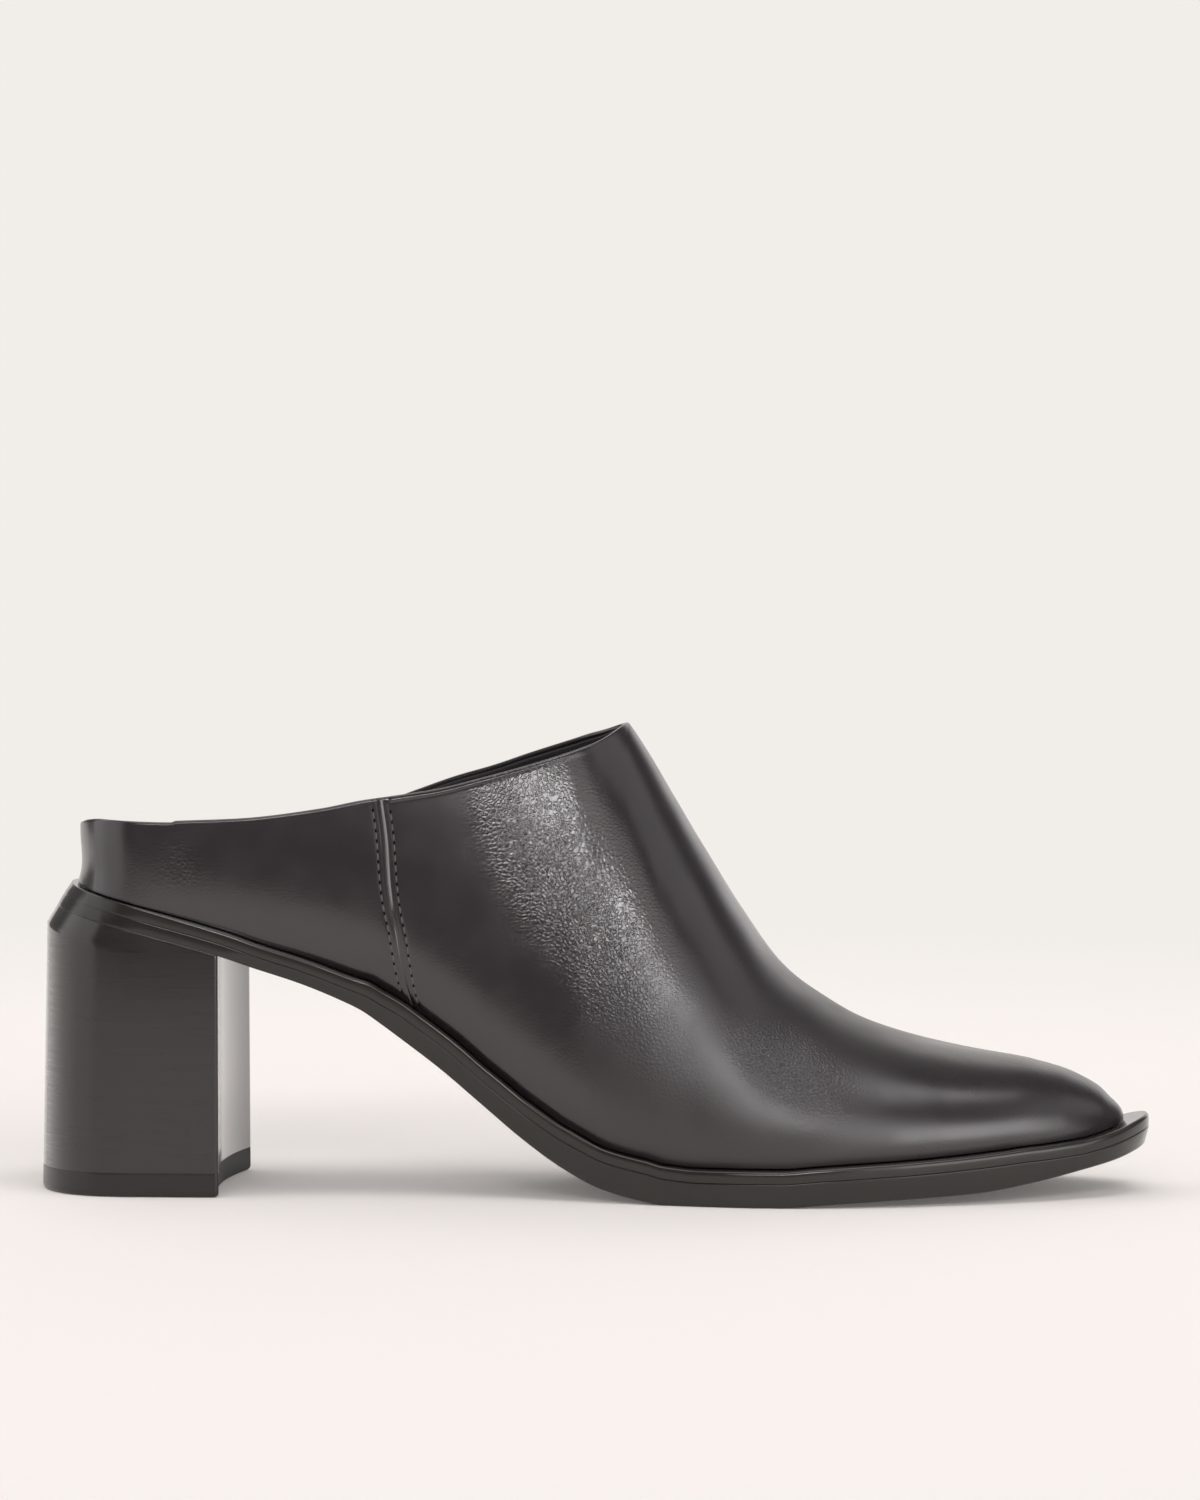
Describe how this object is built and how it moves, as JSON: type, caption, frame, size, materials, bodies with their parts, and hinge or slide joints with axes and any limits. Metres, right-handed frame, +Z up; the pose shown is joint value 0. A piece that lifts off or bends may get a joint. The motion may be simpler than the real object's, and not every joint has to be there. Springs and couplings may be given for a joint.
{
  "type": "mule",
  "caption": "Closed-toe leather mule with an open back, a tapered toe and a stacked block heel, standing on its sole.",
  "frame": {"origin": "on the floor, in the middle of the heel's rest face", "axes": "+X toward the toe, +Y toward the inner side of the foot, +Z up"},
  "size_m": [0.2554, 0.085, 0.1069],
  "materials": {
    "upper_leather": "black calf leather, fine pebbled grain, semi-gloss",
    "stacked_leather": "black stacked leather, fine level layer lines, polished",
    "outsole_leather": "black leather sole edge, burnished; a plain matt underside",
    "midsole_leather": "black leather edge, burnished",
    "insole_leather": "black sock leather, smooth and matt",
    "heel_rubber": "black heel rubber, matt"
  },
  "bodies": {
    "root": {"heel_top_piece": "heel_rubber", "heel": "stacked_leather", "outsole": "outsole_leather", "midsole": "midsole_leather", "upper": "upper_leather", "insole": "insole_leather"}
  },
  "joints": []
}
